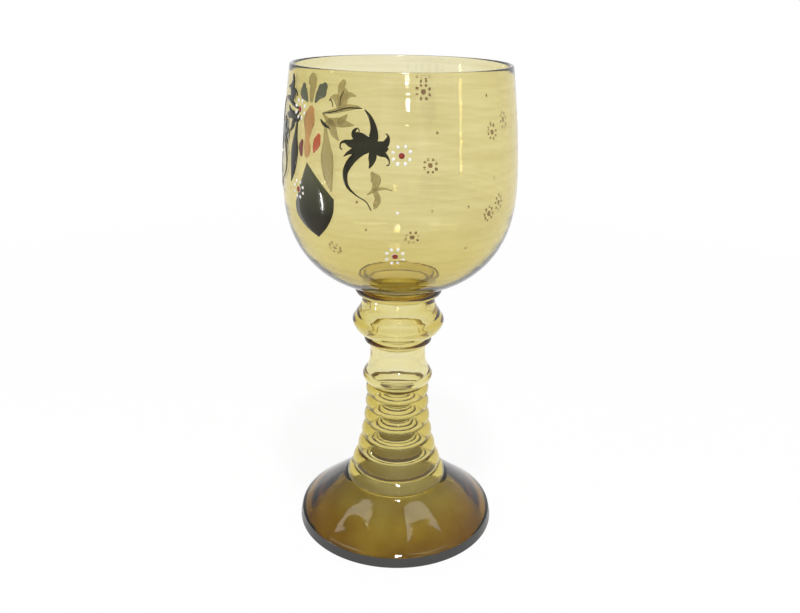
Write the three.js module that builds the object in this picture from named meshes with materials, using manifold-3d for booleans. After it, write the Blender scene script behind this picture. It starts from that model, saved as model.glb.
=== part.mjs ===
// Stemmed glass goblet with a painted bowl, a hollow knopped stem wound with glass rings, and a domed foot.
// Millimetres, +Z up. The origin is on the axis, in the plane that the foot stands on. The front faces -Y.
import * as THREE from 'three';
import { mergeVertices } from 'three/addons/utils/BufferGeometryUtils.js';
import Module from 'manifold-3d';

const wasm = await Module();
wasm.setup();

// Bowl
const totalHeight = 250;
const bowlRadius = 58.2;
const bowlWidestHeight = 194;
const bowlDepth = 56.45; // from the widest height down to where the rounded bottom would close
const bowlRoundness = 2.4; // exponent of the rounded bottom: 2 is an ellipse
const bowlTaper = 1.62; // exponent of the draw-in towards the rim
const rimRadius = 53.3;
const bowlWall = 2.2;
const bowlFloor = 3.4;
const bowlSeatRadius = 21.6; // outside of the flat ring under the bowl, where the collar is fused on
const bowlSeatBore = 19.4; // inside of that ring: the bowl is rounded within it

// Collars and the large knop
const upperCollarRadius = 22.9;
const upperCollarHeight = 6.6;
const upperCollarRelief = 0.3; // how far the collar's bore keeps off the rounded underside of the bowl
const knopNeckRadius = 18.9;
const knopRadius = 24.3;
const knopWall = 2.2;
const knopHeight = 22;
const knopFootRadius = 16.9;
const lowerCollarRadius = 18;
const lowerCollarHeight = 5.6;
const lowerCollarBore = 13.7;

// Stem and its wound rings
const stemTopRadius = 15;
const stemNeckRadius = 14.8;
const stemKnopRadius = 18.8;
const stemKnopHeight = 88;
const stemWall = 2.1;
const woundWall = 2.5; // thickness of the stem under the wound rings
const stemKnopLip = 1.4; // how far the small knop overhangs the first ring's top
const ringCount = 7;
const firstRingHeight = 79;
const ringPitch = 8.05;
const ringPitchGrowth = 0.1;
const firstRingRadius = 17.1;
const lastRingRadius = 27.6;
const stemFlare = 2.17; // exponent of the stem's widening towards the foot
const ringDepth = 2.4;
const ringEdge = 0.5; // thickness that is left where two rings meet
const ringFullness = 0.7; // exponent of a ring's round: lower is fuller

// Foot
const footRadius = 54.5;
const footTopHeight = 24.6;
const footEdgeHeight = 5.2;
const footEdgeDraft = 0.8;
const footEdgeRound = 1.1;
const footTopLip = 2; // how far the foot's top stands out past the last ring
const footRestWidth = 4.5; // the flat ring that the glass stands on
const footBevel = 0.6;

// Enamel painting on the bowl
const enamelClearance = 0.3;
const enamelThickness = 0.4;
const crestAzimuth = -46; // degrees from the front, positive towards +X
const flowerRadius = 4.1;
const flowerScallop = 0.6;
const flowerPetals = 8;
const flowerSpacing = 0.3; // least space between a flower and the scroll beside it
const dotRadius = 0.8;

// Fineness
const wideTurn = 40;
const stemTurn = 32;
const bowlBottomSteps = 10;
const bowlTopSteps = 4;
const undersideSteps = 6;
const lipSteps = 4;
const ringSteps = 4;
const stepsPerSpot = 2;

const toRadians = THREE.MathUtils.degToRad;
const lerp = THREE.MathUtils.lerp;
const point = (radius, height) => new THREE.Vector2(radius, height);

// A profile turned about the vertical axis. It starts and ends on the axis or closes on itself.
function turned(profile, steps) {
  const lathe = new THREE.LatheGeometry(profile, steps);
  lathe.rotateX(Math.PI / 2);
  return welded(lathe);
}

// Merges the vertices that a geometry repeats and drops the triangles that this leaves without area.
function welded(geometry) {
  geometry.deleteAttribute('normal');
  geometry.deleteAttribute('uv');
  const merged = mergeVertices(geometry, 1e-4);
  const index = [];
  for (let i = 0; i < merged.index.count; i += 3) {
    const [a, b, c] = [0, 1, 2].map((k) => merged.index.getX(i + k));
    if (a !== b && b !== c && c !== a) index.push(a, b, c);
  }
  merged.setIndex(index);
  return merged;
}

function toSolid(geometry) {
  const mesh = new wasm.Mesh({
    numProp: 3,
    vertProperties: Float32Array.from(geometry.attributes.position.array),
    triVerts: Uint32Array.from(geometry.index.array),
  });
  mesh.merge();
  return new wasm.Manifold(mesh);
}

function toGeometry(solid) {
  const mesh = solid.getMesh();
  const geometry = new THREE.BufferGeometry();
  geometry.setAttribute('position', new THREE.BufferAttribute(mesh.vertProperties, 3));
  geometry.setIndex(new THREE.BufferAttribute(mesh.triVerts, 1));
  return geometry;
}

// A smooth run through a few points of a profile.
function smooth(points, steps) {
  return new THREE.SplineCurve(points).getPoints(steps);
}

// The rounded lower part of the bowl's outer or inner face, from the given radius up to the widest height.
function bowlBottom(radius, depth, fromRadius, steps) {
  const widest = Math.acos((fromRadius / radius) ** (bowlRoundness / 2));
  const points = [];
  for (let i = 0; i <= steps; i++) {
    const angle = widest * (1 - i / steps);
    const across = radius * Math.cos(angle) ** (2 / bowlRoundness);
    const down = depth * Math.sin(angle) ** (2 / bowlRoundness);
    points.push(point(across, bowlWidestHeight - down));
  }
  return points;
}

const lipRadius = bowlWall / 2;
const lipHeight = totalHeight - lipRadius;

// Radius of the bowl's outer face at any height of its painted part.
function bowlRadiusAt(height) {
  if (height < bowlWidestHeight) {
    const down = (bowlWidestHeight - height) / bowlDepth;
    return bowlRadius * (1 - down ** bowlRoundness) ** (1 / bowlRoundness);
  }
  const up = (height - bowlWidestHeight) / (lipHeight - bowlWidestHeight);
  return bowlRadius - (bowlRadius - rimRadius) * up ** bowlTaper;
}

// The drawn-in upper part of the bowl's face, from just above the widest height to the lip.
function bowlTop(inset, steps) {
  const points = [];
  for (let i = 1; i <= steps; i++) {
    const height = lerp(bowlWidestHeight, lipHeight, i / steps);
    points.push(point(bowlRadiusAt(height) - inset, height));
  }
  return points;
}

const bowlFace = [
  ...bowlBottom(bowlRadius, bowlDepth, bowlSeatRadius, bowlBottomSteps),
  ...bowlTop(0, bowlTopSteps),
];
const bowlSeatHeight = bowlFace[0].y;

function bowl() {
  const innerFace = [
    ...bowlBottom(bowlRadius - bowlWall, bowlDepth - bowlFloor, 0, bowlBottomSteps),
    ...bowlTop(bowlWall, bowlTopSteps),
  ];
  const lip = [];
  for (let i = 1; i < lipSteps; i++) {
    const angle = (Math.PI * i) / lipSteps;
    const across = rimRadius - lipRadius + lipRadius * Math.cos(angle);
    lip.push(point(across, lipHeight + lipRadius * Math.sin(angle)));
  }
  const underside = [];
  for (let i = 0; i < undersideSteps; i++) {
    const across = (bowlSeatBore * i) / undersideSteps;
    const down = bowlDepth * (1 - (across / bowlRadius) ** bowlRoundness) ** (1 / bowlRoundness);
    underside.push(point(across, bowlWidestHeight - down));
  }
  underside.push(point(bowlSeatBore, bowlSeatHeight));
  return turned([...underside, ...bowlFace, ...lip, ...innerFace.reverse()], wideTurn);
}

// Everything below the bowl hangs from the seat height, down to the foot.
const upperCollarBase = bowlSeatHeight - upperCollarHeight;
const knopBase = upperCollarBase - knopHeight;
const lowerCollarBase = knopBase - lowerCollarHeight;

const knopNeckBore = knopNeckRadius - knopWall;
const knopFootBore = knopFootRadius - knopWall;
const stemNeckBore = stemTopRadius - stemWall;

function upperCollar() {
  const at = (share) => upperCollarBase + share * upperCollarHeight;
  const flange = (share) => lerp(knopNeckRadius, upperCollarRadius, share);
  const boreTop = bowlSeatBore + upperCollarRelief;
  const edge = smooth([
    point(knopNeckRadius, upperCollarBase),
    point(flange(0.4), at(0.12)),
    point(flange(0.86), at(0.3)),
    point(upperCollarRadius, at(0.6)),
    point(bowlSeatRadius, bowlSeatHeight),
  ], 8);
  const bore = smooth([
    point(boreTop, bowlSeatHeight),
    point(lerp(knopNeckBore, boreTop, 0.75), at(0.75)),
    point(lerp(knopNeckBore, boreTop, 0.2), at(0.3)),
    point(knopNeckBore, upperCollarBase),
  ], 4);
  return turned([...edge, ...bore, edge[0]], stemTurn);
}

// The large hollow knop, blown wider than its neck and open at both ends.
function ringKnop() {
  const at = (share) => knopBase + share * knopHeight;
  const widestInside = knopRadius - knopWall;
  const swell = (share) => lerp(knopNeckBore, widestInside, share);
  const outer = smooth([
    point(knopFootRadius, knopBase),
    point(lerp(knopFootRadius, knopRadius, 0.62), at(0.11)),
    point(knopRadius, at(0.35)),
    point(lerp(knopNeckRadius, knopRadius, 0.67), at(0.53)),
    point(lerp(knopNeckRadius, knopRadius, 0.17), at(0.75)),
    point(knopNeckRadius, upperCollarBase),
  ], 10);
  const inner = smooth([
    point(knopNeckBore, upperCollarBase),
    point(knopNeckBore, at(0.8)),
    point(swell(0.3), at(0.6)),
    point(swell(0.6), at(0.4)),
    point(swell(0.5), at(0.2)),
    point(knopFootBore, knopBase),
  ], 8);
  return turned([...outer, ...inner, outer[0]], stemTurn);
}

function lowerCollar() {
  const edge = smooth([
    point(stemTopRadius, lowerCollarBase),
    point(lowerCollarRadius, lowerCollarBase + 0.45 * lowerCollarHeight),
    point(knopFootRadius, knopBase),
  ], 6);
  const bore = smooth([
    point(knopFootBore, knopBase),
    point(lowerCollarBore, lowerCollarBase + 0.4 * lowerCollarHeight),
    point(stemNeckBore, lowerCollarBase),
  ], 4);
  return turned([...edge, ...bore, edge[0]], stemTurn);
}

const ringHeight = (order) => firstRingHeight - ringPitch * order - ringPitchGrowth * order ** 2;
const lastRing = ringCount - 1;
const ringTop = (order) => ringHeight(order - 0.5);
const ringBase = (order) => (order === lastRing ? footTopHeight : ringHeight(order + 0.5));

// The stem's outer face under the rings: it widens from the first ring down to the foot.
function stemCore(height) {
  const drop = (firstRingHeight - height) / (firstRingHeight - ringHeight(lastRing));
  return firstRingRadius - ringDepth + (lastRingRadius - firstRingRadius) * Math.max(drop, 0) ** stemFlare;
}

// One wound ring: flat where it meets the stem and its neighbours, rounded outside.
function windingRing(order) {
  const top = ringTop(order);
  const base = ringBase(order);
  const bulge = ringDepth - ringEdge;
  const outer = [];
  for (let i = 0; i <= ringSteps; i++) {
    const share = i / ringSteps;
    const height = lerp(base, top, share);
    const edge = lerp(stemCore(base), stemCore(top), share) + ringEdge;
    outer.push(point(edge + bulge * Math.sin(Math.PI * share) ** ringFullness, height));
  }
  const profile = [...outer, point(stemCore(top), top), point(stemCore(base), base), outer[0]];
  return turned(profile, stemTurn);
}

// The stem's inner face under the rings, down to the foot.
const woundBore = (height) => stemCore(height) - woundWall;
const stemMouth = woundBore(footTopHeight);

// The hollow stem: neck, small knop and the flaring part that carries the rings.
function stem() {
  const windings = Array.from({ length: ringCount }, (_, order) => lastRing - order);
  const carried = windings.map((order) => point(stemCore(ringBase(order)), ringBase(order)));
  const windingTop = ringTop(0);
  const knopRoot = stemCore(windingTop) + stemKnopLip;
  const aboveKnop = (share) => lerp(stemKnopHeight, lowerCollarBase, share);
  const outer = smooth([
    point(knopRoot, windingTop),
    point(lerp(knopRoot, stemKnopRadius, 0.66), lerp(windingTop, stemKnopHeight, 0.33)),
    point(stemKnopRadius, stemKnopHeight),
    point(lerp(stemNeckRadius, stemKnopRadius, 0.42), aboveKnop(0.24)),
    point(lerp(stemNeckRadius, stemKnopRadius, 0.1), aboveKnop(0.45)),
    point(stemNeckRadius, aboveKnop(0.74)),
    point(stemTopRadius, lowerCollarBase),
  ], 12);
  const cavity = stemKnopRadius - stemWall;
  const blendHeight = ringHeight(0);
  const inner = smooth([
    point(stemNeckBore, lowerCollarBase),
    point(stemNeckBore, aboveKnop(0.6)),
    point(lerp(stemNeckBore, cavity, 0.15), aboveKnop(0.4)),
    point(lerp(stemNeckBore, cavity, 0.6), aboveKnop(0.2)),
    point(cavity, stemKnopHeight),
    point(woundBore(blendHeight), blendHeight),
  ], 12);
  const woundFace = carried.map((spot) => point(woundBore(spot.y), spot.y)).reverse();
  const core = [...carried, point(stemCore(windingTop), windingTop)];
  return turned([...core, ...outer, ...inner, ...woundFace, carried[0]], stemTurn);
}

// The domed foot: a thick shell, hollow underneath, on a flat ground ring.
function foot() {
  const restOuter = footRadius - footBevel;
  const restInner = restOuter - footRestWidth;
  const edgeRadius = footRadius - footEdgeDraft;
  const shoulder = edgeRadius - footEdgeRound;
  const topRadius = stemCore(footTopHeight) + ringEdge + footTopLip;
  const flare = new THREE.QuadraticBezierCurve(
    point(shoulder, footEdgeHeight + 0.55 * footEdgeRound),
    point(lerp(topRadius, shoulder, 0.22), lerp(footEdgeHeight, footTopHeight, 0.79)),
    point(topRadius, footTopHeight),
  ).getPoints(8);
  const hollow = new THREE.QuadraticBezierCurve(
    point(stemMouth, footTopHeight),
    point(lerp(stemMouth, restInner, 0.6), 0.47 * footTopHeight),
    point(restInner, 0),
  ).getPoints(9);
  const edge = [
    point(restOuter, 0),
    point(footRadius, footBevel),
    point(edgeRadius, footEdgeHeight - 0.55 * footEdgeRound),
    point(edgeRadius - 0.45 * footEdgeRound, footEdgeHeight + 0.2 * footEdgeRound),
  ];
  return turned([...edge, ...flare, ...hollow, edge[0]], wideTurn);
}

// The painting is drawn as it lies on the bowl. A spot is given by its degrees from the axis of the crest and its
// height in hundredths of the way from the seat of the bowl to its rim. A brush width is in those same parts.
const lowestPaint = 23;
const paintedHeight = (up) => lerp(bowlSeatHeight, totalHeight, up / 100);

// The direction that a painted spot faces, as a frame of its right, up and outward vectors.
function facing(degrees) {
  const angle = toRadians(crestAzimuth + degrees);
  return {
    right: new THREE.Vector3(Math.cos(angle), Math.sin(angle), 0),
    up: new THREE.Vector3(0, 0, 1),
    outward: new THREE.Vector3(Math.sin(angle), -Math.cos(angle), 0),
  };
}

// A thin skin just clear of the bowl's outer face, from which the painted pieces are cut.
function enamelSkin() {
  const lowest = paintedHeight(lowestPaint);
  const face = [point(bowlRadiusAt(lowest), lowest), ...bowlFace.filter((spot) => spot.y > lowest)];
  const offset = (distance) => face.map((spot) => point(spot.x + distance, spot.y));
  const outer = offset(enamelClearance + enamelThickness);
  const inner = offset(enamelClearance).reverse();
  return toSolid(turned([...outer, ...inner, outer[0]], wideTurn));
}

// The outline of one brush stroke. Each spot is [degrees, hundredths of the height, brush width].
function brushStroke(spots) {
  const last = stepsPerSpot * (spots.length - 1);
  const line = smooth(spots.map(([degrees, up]) => point(degrees, up)), last);
  const widths = smooth(spots.map(([, , width], i) => point(i, width)), last);
  const left = [];
  const right = [];
  line.forEach((spot, i) => {
    const before = line[Math.max(i - 1, 0)];
    const after = line[Math.min(i + 1, last)];
    const along = after.clone().sub(before).normalize();
    const half = widths[i].y / 2;
    left.push(point(spot.x - along.y * half, spot.y + along.x * half));
    right.push(point(spot.x + along.y * half, spot.y - along.x * half));
  });
  const start = line[0].clone().sub(line[1]).setLength(widths[0].y / 2).add(line[0]);
  const end = line[last].clone().sub(line[last - 1]);
  end.setLength(widths[last].y / 2).add(line[last]);
  return [start, ...right, end, ...left.reverse()];
}

// Cuts one painted piece out of the skin, along the outlines that are drawn on it.
const skin = enamelSkin();
function painted(outlines) {
  const reach = outlines.flat().map((spot) => spot.x);
  const middle = (Math.min(...reach) + Math.max(...reach)) / 2;
  const { right, up, outward } = facing(middle);
  const place = new THREE.Matrix4().makeBasis(right, up, outward);
  place.setPosition(outward.clone().multiplyScalar(bowlRadius / 2));
  const prisms = outlines.map((outline) => {
    const across = (spot) => bowlRadius * Math.sin(toRadians(spot.x - middle));
    const flat = outline.map((spot) => point(across(spot), paintedHeight(spot.y)));
    const prism = new THREE.ExtrudeGeometry(new THREE.Shape(flat), {
      depth: bowlRadius,
      bevelEnabled: false,
      steps: 1,
    });
    prism.applyMatrix4(place);
    return toSolid(welded(prism));
  });
  const whole = prisms.reduce((sum, prism) => sum.add(prism));
  return toGeometry(skin.intersect(whole));
}

const mirrored = (strokes) => strokes.map((spots) => spots.map(([degrees, ...rest]) => [-degrees, ...rest]));

// A plain leaning shield, with a hollow-sided top and a pointed foot.
const shieldOutline = new THREE.Shape()
  .moveTo(-0.8, 63.2)
  .splineThru([point(6.3, 57.7), point(15.9, 50.1)])
  .splineThru([point(15.2, 44.1), point(11.4, 37.9), point(5.3, 32.5)])
  .splineThru([point(-3.3, 35.9), point(-9.5, 40.3), point(-10.4, 44.6)])
  .splineThru([point(-5.9, 53.4), point(-0.8, 63.2)])
  .getPoints(3)
  .slice(1);

// The dark acanthus scroll: its stalk and tail, three leaves to the left, three to the right and one below.
const scrollStrokes = [
  [[30, 86, 0.5], [32.4, 83.4, 1.6], [34, 79.8, 2.8], [34.2, 76, 4.2], [33.3, 72.2, 3.8]],
  [[32.4, 71.6, 2.8], [28.2, 69.6, 2.9], [24, 66.1, 3.3], [21.5, 61.5, 2.6], [22.5, 56.5, 1.5],
   [26.6, 53.1, 0.6], [31.2, 50.8, 0.5], [33.5, 47.5, 0.5]],
  [[32.9, 74.4, 2.8], [29, 75.5, 3.6], [25.7, 76.3, 3.3], [25.3, 77.9, 1.7], [26.8, 79, 0.5],
   [27.7, 78, 0.5]],
  [[32.6, 73.8, 3], [28.1, 73.6, 3.8], [24.1, 73, 3.3], [20.9, 73.6, 1.4], [18.9, 72.8, 0.8],
   [18.7, 71, 0.7], [19.6, 70.5, 0.5]],
  [[30.7, 72.6, 2.2], [26.2, 70.7, 2.8], [22.9, 69.4, 1.5], [20.7, 68, 0.5]],
  [[34.2, 73.3, 2.2], [37.1, 73.7, 1.8], [39.2, 73.4, 3.1], [40.4, 75.2, 2.1], [40.5, 76.8, 0.7],
   [39.6, 77.4, 0.5]],
  [[34.6, 72.3, 2.8], [37.1, 71.8, 3.3], [39.6, 71.7, 2.5], [40.7, 71.9, 0.5]],
  [[34.9, 71.2, 2.8], [37.6, 70.1, 2.8], [39.8, 69.1, 1.5], [41.1, 67.5, 0.7], [41.1, 65.8, 0.5],
   [40.2, 65.4, 0.5]],
  [[34.3, 71.2, 3.5], [33.8, 67.9, 3.5], [33.4, 65.9, 2.1], [32.5, 64.1, 0.5]],
];

// The mantling beside the crest, with its long fold down to the shield.
const mantlingStrokes = [
  [[8.3, 83.4, 0.8], [14.7, 84.7, 1.8], [21.3, 86.4, 2.5], [26.2, 86.8, 1.3], [28.4, 86.4, 0.5]],
  [[18, 86.7, 3.6], [16.1, 89.2, 3.9], [13.4, 89.9, 1.5], [11.7, 88.6, 0.6]],
  [[18.9, 87.3, 4.4], [18.8, 91.2, 5.8], [17.8, 93.8, 3.3], [19, 95.6, 2.6]],
  [[19.6, 90.2, 3.4], [22.4, 91.3, 2], [25.4, 91, 0.5]],
  [[8.4, 83.3, 0.9], [11.9, 80.9, 2.3], [18, 80.6, 3.7], [22.2, 80.2, 2.1], [24.9, 80, 0.5]],
  [[13.5, 79.6, 3.9], [14.9, 77, 3.7], [16.5, 74.9, 2], [17.8, 73.7, 0.5]],
  [[12.7, 80.6, 2.5], [9.7, 79.2, 1.8], [7.5, 80, 0.5]],
  [[18, 81, 3.1], [20.5, 82.7, 1.8], [21.5, 83.8, 0.5]],
  [[10.1, 79.3, 1.2], [11.1, 72.8, 3.6], [11.7, 66.7, 7.1], [12.8, 59.4, 5.3], [14.5, 53.6, 1.1]],
];
const tailLeafStrokes = [
  [[34.1, 61.9, 2.1], [35.4, 59.9, 4.7], [35.5, 57.7, 3.1], [34.3, 55.4, 1.5], [31.9, 53.7, 0.5]],
  [[34.9, 55.8, 1.8], [36.5, 52.1, 2.7], [35.5, 49.5, 2.4], [34.9, 48.2, 0.6]],
  [[35.7, 56, 1.7], [39.6, 56.4, 0.8], [42.6, 55.7, 0.5]],
];

// The crest above the shield: a plume, two lobes, a stalk and two buds.
const crestStrokes = {
  enamel_plume: [[0.3, 95.3, 6.2], [0.8, 93.6, 4.6], [0.5, 91, 3.5], [0.3, 88.1, 2.6]],
  enamel_lobe_right: [[8.6, 93.5, 3.5], [7.2, 92, 5.8], [4.9, 89.9, 3.7], [3.3, 87.6, 1.5]],
  enamel_lobe_left: [[-6.2, 92.4, 3.6], [-6.1, 90.5, 5.8], [-4.1, 88.8, 3.6], [-2.6, 87.4, 1.4]],
  enamel_stalk: [
    [0.6, 83.5, 4.8], [0, 81.5, 7], [-0.6, 78.8, 7.6], [-0.9, 75.5, 4.7], [-1.2, 72, 3.4], [-0.8, 69, 4.8],
    [-1.1, 66.6, 3.6],
  ],
  enamel_bud_right: [[6.5, 74.2, 2.6], [5.5, 71.9, 4.4], [4.3, 69.4, 3], [3.8, 68, 1.3]],
  enamel_bud_left: [[-4.9, 71, 2], [-5.9, 68.5, 3.6], [-5.3, 65.8, 2]],
};

// Flowers and single dots: degrees, hundredths of the height, and whether other paint lies underneath.
const scrollReach = Math.max(...scrollStrokes.flatMap(brushStroke).map((spot) => spot.x));
const flowerRoom = THREE.MathUtils.radToDeg((flowerRadius + flowerScallop + flowerSpacing) / bowlRadius);
const flowers = [
  [scrollReach + flowerRoom, 69.3], [44, 28.1], [-7.8, 83.6, true], [-6.7, 51.2, true],
  [213.2, 82.5], [152.5, 74.6], [165.8, 67.2], [208.7, 45.7],
  [153.7, 35], [161, 27.7], [215.8, 9.3], [-70.2, 8.4],
];
const dots = [
  [45, 46.8], [170.3, 83.7], [204.8, 62.9], [162.6, 45.7], [204.9, 22.8],
  [-109, 13.5], [161.1, 9.2], [-106.8, 27.1], [180.4, 27.5],
];

// Sets a small flat piece on the bowl, square to its face and just clear of what lies under it.
function seatOnBowl(mesh, degrees, hundredths, overPaint) {
  const { right, up, outward } = facing(degrees);
  const height = paintedHeight(hundredths);
  const step = lipRadius / 4;
  const slope = (bowlRadiusAt(height + step) - bowlRadiusAt(height - step)) / (2 * step);
  const normal = outward.clone().addScaledVector(up, -slope).normalize();
  const raised = overPaint ? enamelThickness + enamelClearance : 0;
  const tilted = new THREE.Matrix4().makeBasis(right, normal.clone().cross(right), normal);
  mesh.quaternion.setFromRotationMatrix(tilted);
  mesh.position.copy(outward).multiplyScalar(bowlRadiusAt(height)).setZ(height);
  mesh.position.addScaledVector(normal, enamelClearance + raised);
}

// A flower of dots, drawn as one scalloped rosette.
function rosette() {
  const outline = [];
  const steps = 3 * flowerPetals;
  for (let i = 0; i < steps; i++) {
    const angle = (2 * Math.PI * i) / steps;
    const reach = flowerRadius + flowerScallop * Math.cos(flowerPetals * angle);
    outline.push(point(reach * Math.cos(angle), reach * Math.sin(angle)));
  }
  const options = { depth: enamelThickness, bevelEnabled: false, steps: 1 };
  return welded(new THREE.ExtrudeGeometry(new THREE.Shape(outline), options));
}

function enamelDot() {
  const profile = [
    point(0, 0),
    point(dotRadius, 0),
    point(0.7 * dotRadius, 0.75 * enamelThickness),
    point(0, enamelThickness),
  ];
  return turned(profile, flowerPetals);
}

const glass = { roughness: 0.04, metalness: 0, transparent: true, opacity: 0.55 };
const makeGlass = () => new THREE.MeshStandardMaterial({ color: 0xd8c888, ...glass });
const makeEnamel = (color) => new THREE.MeshStandardMaterial({ color, roughness: 0.3, metalness: 0 });

const group = new THREE.Group();

function add(name, geometry, material) {
  geometry.computeVertexNormals();
  const mesh = new THREE.Mesh(geometry, material);
  mesh.name = name;
  group.add(mesh);
  return mesh;
}

add('bowl', bowl(), makeGlass());
add('upper_collar', upperCollar(), makeGlass());
add('ring_knop', ringKnop(), makeGlass());
add('lower_collar', lowerCollar(), makeGlass());
add('stem', stem(), makeGlass());
for (let order = 0; order < ringCount; order++) {
  add(`thread_ring_${order + 1}`, windingRing(order), makeGlass());
}
add('foot', foot(), makeGlass());

const oliveBlack = 0x2c2a1c;
const ochre = 0xa8924a;
const crestColors = {
  enamel_plume: 0xa39a55,
  enamel_lobe_right: 0x55583a,
  enamel_lobe_left: 0x44452f,
  enamel_stalk: 0xb07a3c,
  enamel_bud_right: 0xb05a30,
  enamel_bud_left: 0x7a2a20,
};
add('enamel_shield', painted([shieldOutline]), makeEnamel(0x4a4a30));
add('enamel_scroll_right', painted(scrollStrokes.map(brushStroke)), makeEnamel(oliveBlack));
add('enamel_scroll_left', painted(mirrored(scrollStrokes).map(brushStroke)), makeEnamel(oliveBlack));
add('enamel_mantling_right', painted(mantlingStrokes.map(brushStroke)), makeEnamel(ochre));
add('enamel_mantling_left', painted(mirrored(mantlingStrokes).map(brushStroke)), makeEnamel(oliveBlack));
add('enamel_tail_leaf_right', painted(tailLeafStrokes.map(brushStroke)), makeEnamel(ochre));
add('enamel_tail_leaf_left', painted(mirrored(tailLeafStrokes).map(brushStroke)), makeEnamel(ochre));
for (const [name, spots] of Object.entries(crestStrokes)) {
  add(name, painted([brushStroke(spots)]), makeEnamel(crestColors[name]));
}
flowers.forEach(([degrees, hundredths, overPaint], i) => {
  const flower = add(`enamel_flower_${i + 1}`, rosette(), makeEnamel(0xf2efe6));
  seatOnBowl(flower, degrees, hundredths, overPaint);
});
dots.forEach(([degrees, hundredths], i) => {
  const dot = add(`enamel_dot_${i + 1}`, enamelDot(), makeEnamel(0xd8d2b8));
  seatOnBowl(dot, degrees, hundredths, false);
});

export default group;
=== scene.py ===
import random
from math import acos, cos, pi, radians, sin

import bmesh
import bpy
from mathutils import Matrix, Vector


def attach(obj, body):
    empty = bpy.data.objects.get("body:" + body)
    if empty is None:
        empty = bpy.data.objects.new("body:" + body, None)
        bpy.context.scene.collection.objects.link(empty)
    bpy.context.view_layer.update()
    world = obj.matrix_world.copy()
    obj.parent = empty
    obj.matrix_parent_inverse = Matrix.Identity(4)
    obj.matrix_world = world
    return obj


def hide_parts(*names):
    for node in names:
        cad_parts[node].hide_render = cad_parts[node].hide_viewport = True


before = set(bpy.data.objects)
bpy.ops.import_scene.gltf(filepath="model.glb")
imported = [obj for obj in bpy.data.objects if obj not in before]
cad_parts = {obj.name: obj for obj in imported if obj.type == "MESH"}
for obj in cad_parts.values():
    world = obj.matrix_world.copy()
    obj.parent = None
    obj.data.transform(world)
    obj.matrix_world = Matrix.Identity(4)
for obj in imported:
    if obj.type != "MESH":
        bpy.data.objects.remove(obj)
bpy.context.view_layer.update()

mm = 0.001
hairline = 0.02  # space in mm between two glass faces that are fused together


def lerp(a, b, share):
    return a + (b - a) * share


# camera: the photograph's own view, in mm, degrees and pixels
view = dict(distance=407.6, height=281.3, pitch=20.9, yaw=0.12, roll=0.86, focal=823.2, imageWidth=800,
            sensorWidth=36, clipStart=10)


def makeCamera():
    pitch, yaw = radians(view["pitch"]), radians(view["yaw"])
    forward = Vector((sin(yaw) * cos(pitch), cos(yaw) * cos(pitch), -sin(pitch)))
    right = Vector((cos(yaw), -sin(yaw), 0))
    turn = Matrix((right, right.cross(forward), -forward)).transposed()
    lens = bpy.data.cameras.new("camera")
    lens.sensor_width = view["sensorWidth"]
    lens.lens = view["focal"] * lens.sensor_width / view["imageWidth"]
    lens.clip_start = view["clipStart"] * mm
    camera = bpy.data.objects.new("camera", lens)
    camera.location = (0, -view["distance"] * mm, view["height"] * mm)
    camera.rotation_euler = (turn @ Matrix.Rotation(radians(view["roll"]), 3, "Z")).to_euler()
    bpy.context.scene.collection.objects.link(camera)
    bpy.context.scene.camera = camera


makeCamera()
print("camera placed")


# shader maths: wraps a socket, so that maths on it adds nodes
class Value:
    def __init__(self, shader, socket):
        self.shader, self.socket = shader, socket

    def math(self, operation, *others):
        return self.shader.node("Math", dict(operation=operation), self, *others)

    def __add__(self, other):
        return self.math("ADD", other)

    __radd__ = __add__

    def __mul__(self, other):
        return self.math("MULTIPLY", other)

    __rmul__ = __mul__

    def __sub__(self, other):
        return self.math("SUBTRACT", other)

    def __rsub__(self, other):
        return self.shader.node("Math", dict(operation="SUBTRACT"), other, self)

    def clamped(self):
        return self.shader.node("Math", dict(operation="MULTIPLY", use_clamp=True), self, 1.0)


class Shader:
    def __init__(self, name):
        self.material = bpy.data.materials.new(name)
        self.material.use_nodes = True
        self.tree = self.material.node_tree
        self.tree.nodes.clear()
        self.output = self.tree.nodes.new("ShaderNodeOutputMaterial")

    # a node: its type, its settings, then the values or links of its sockets in order or by name
    def node(self, kind, settings, *values, **named):
        node = self.tree.nodes.new("ShaderNode" + kind)
        for key, value in settings.items():
            setattr(node, key, value)
        for index, value in enumerate(values):
            self.plug(node.inputs[index], value)
        for key, value in named.items():
            self.plug(node.inputs[key.replace("_", " ")], value)
        outputs = [socket for socket in node.outputs if socket.enabled]
        return Value(self, outputs[0])

    def plug(self, socket, value):
        if isinstance(value, Value):
            self.tree.links.new(value.socket, socket)
        elif value is not None:
            if isinstance(value, tuple) and socket.type == "RGBA" and len(value) == 3:
                value = (*value, 1)
            socket.default_value = value

    # the Mix node's sockets for colours are inputs 6 and 7 and output 2
    def mix(self, factor, a, b):
        node = self.tree.nodes.new("ShaderNodeMix")
        node.data_type = "RGBA"
        self.plug(node.inputs[0], factor)
        self.plug(node.inputs[6], a)
        self.plug(node.inputs[7], b)
        return Value(self, node.outputs[2])

    def place(self, scale=(1, 1, 1)):
        where = self.tree.nodes.new("ShaderNodeTexCoord").outputs["Object"]
        return self.node("Mapping", {}, Vector=Value(self, where), Scale=scale)

    def noise(self, scale, detail=3, stretch=(1, 1, 1)):
        return self.node("TexNoise", {}, Vector=self.place(stretch), Scale=scale, Detail=detail,
                         Roughness=0.5)

    def attribute(self, name):
        node = self.tree.nodes.new("ShaderNodeAttribute")
        node.attribute_name = name
        return Value(self, node.outputs["Fac"])

    def finish(self, surface, volume=None):
        self.tree.links.new(surface.socket, self.output.inputs["Surface"])
        if volume:
            self.tree.links.new(volume.socket, self.output.inputs["Volume"])
        return self.material


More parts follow.
